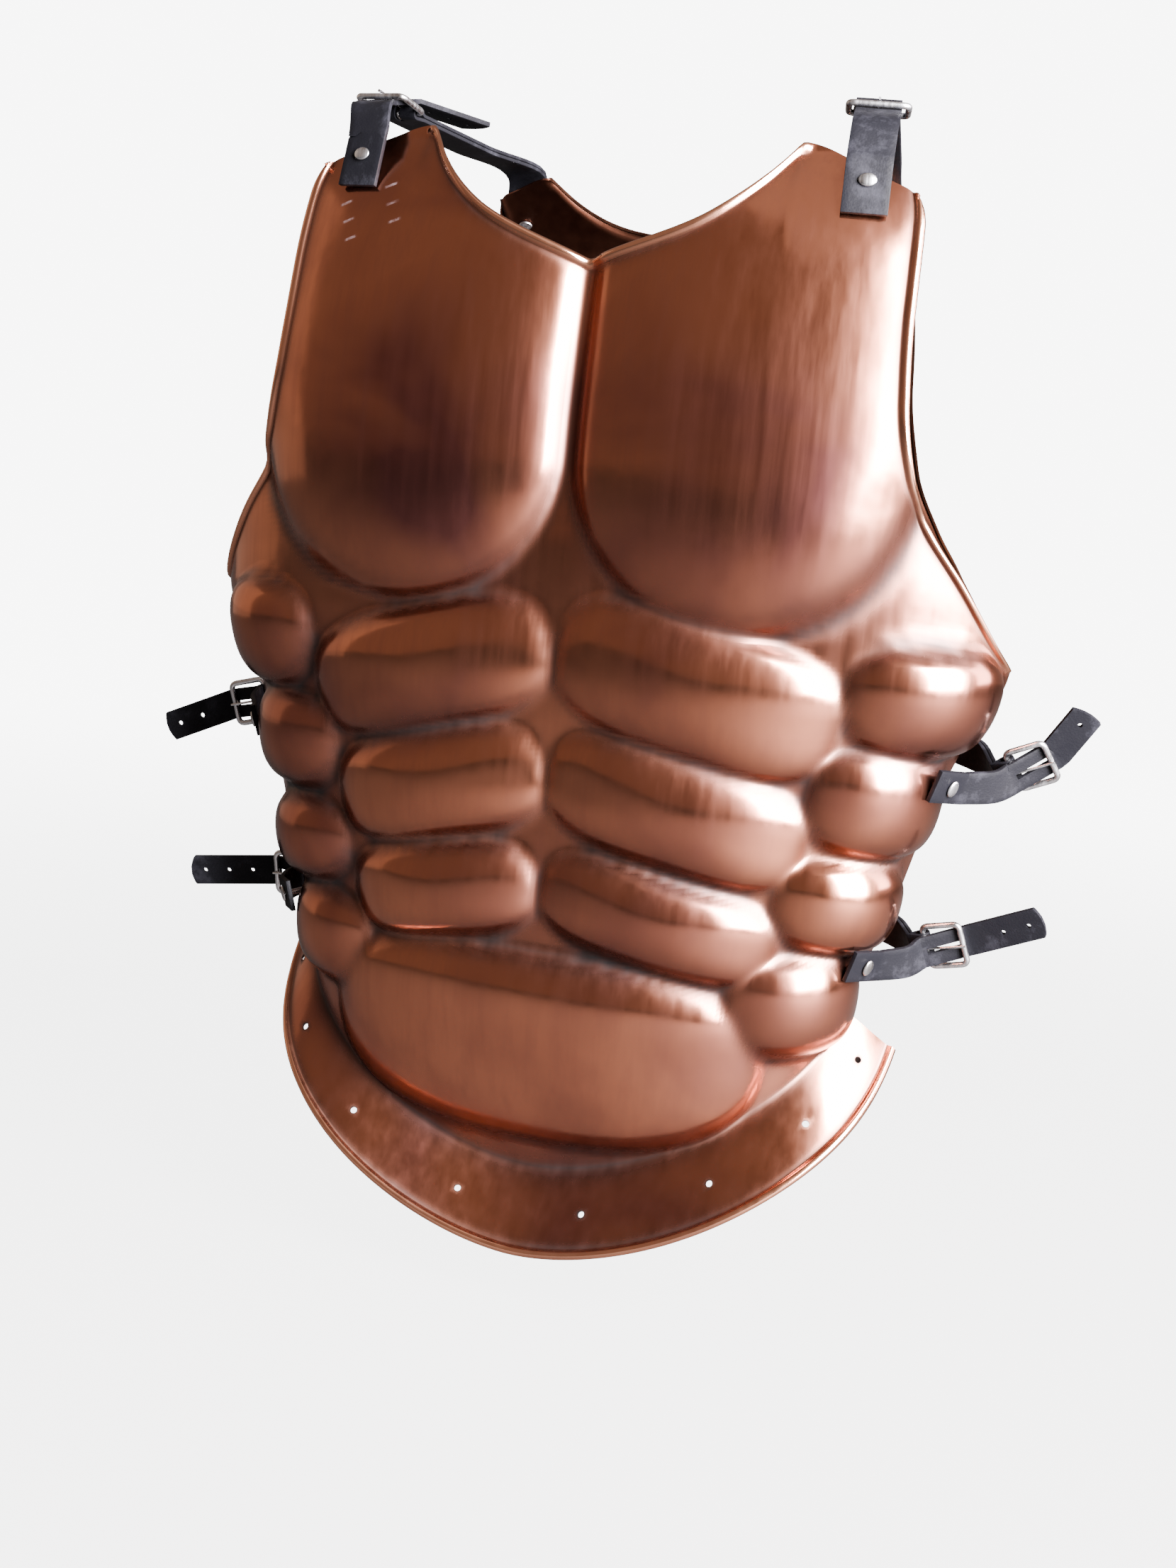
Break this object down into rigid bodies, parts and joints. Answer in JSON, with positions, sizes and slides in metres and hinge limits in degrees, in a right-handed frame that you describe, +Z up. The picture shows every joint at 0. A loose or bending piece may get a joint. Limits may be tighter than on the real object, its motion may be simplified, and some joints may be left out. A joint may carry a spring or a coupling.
{
  "type": "muscle cuirass",
  "caption": "Copper-bronze muscle cuirass: a hammered breastplate and backplate joined by buckled black leather shoulder and side straps, shown fastened as worn.",
  "frame": {"origin": "midway between the two shoulder straps, at the height where they sit on the wearer's shoulders", "axes": "+Z up, +X to the viewer's right, the breastplate faces -Y"},
  "size_m": [0.5317, 0.2539, 0.6001],
  "materials": {
    "copper_bronze": "antiqued copper-bronze, buffed bright on the raised forms, dark patina in the hollows",
    "black_leather": "black strap leather, smooth and slightly worn",
    "nickel": "dull nickel plate"
  },
  "bodies": {
    "root": {"breastplate": "copper_bronze", "backplate": "copper_bronze", "shoulder_strap_left": "black_leather", "shoulder_strap_left_buckle": "nickel", "shoulder_strap_left_prong": "nickel", "shoulder_strap_left_buckle_loop": "black_leather", "shoulder_strap_left_front_rivet": "nickel", "shoulder_strap_left_back_rivet": "nickel", "shoulder_strap_right": "black_leather", "shoulder_strap_right_buckle": "nickel", "shoulder_strap_right_prong": "nickel", "shoulder_strap_right_buckle_loop": "black_leather", "shoulder_strap_right_front_rivet": "nickel", "shoulder_strap_right_back_rivet": "nickel", "upper_side_strap_left": "black_leather", "upper_side_strap_left_buckle": "nickel", "upper_side_strap_left_prong": "nickel", "upper_side_strap_left_buckle_loop": "black_leather", "upper_side_strap_left_front_rivet": "nickel", "upper_side_strap_left_back_rivet": "nickel", "upper_side_strap_right": "black_leather", "upper_side_strap_right_buckle": "nickel", "upper_side_strap_right_prong": "nickel", "upper_side_strap_right_buckle_loop": "black_leather", "upper_side_strap_right_front_rivet": "nickel", "upper_side_strap_right_back_rivet": "nickel", "lower_side_strap_left": "black_leather", "lower_side_strap_left_buckle": "nickel", "lower_side_strap_left_prong": "nickel", "lower_side_strap_left_buckle_loop": "black_leather", "lower_side_strap_left_front_rivet": "nickel", "lower_side_strap_left_back_rivet": "nickel", "lower_side_strap_right": "black_leather", "lower_side_strap_right_buckle": "nickel", "lower_side_strap_right_prong": "nickel", "lower_side_strap_right_buckle_loop": "black_leather", "lower_side_strap_right_front_rivet": "nickel", "lower_side_strap_right_back_rivet": "nickel"}
  },
  "joints": []
}
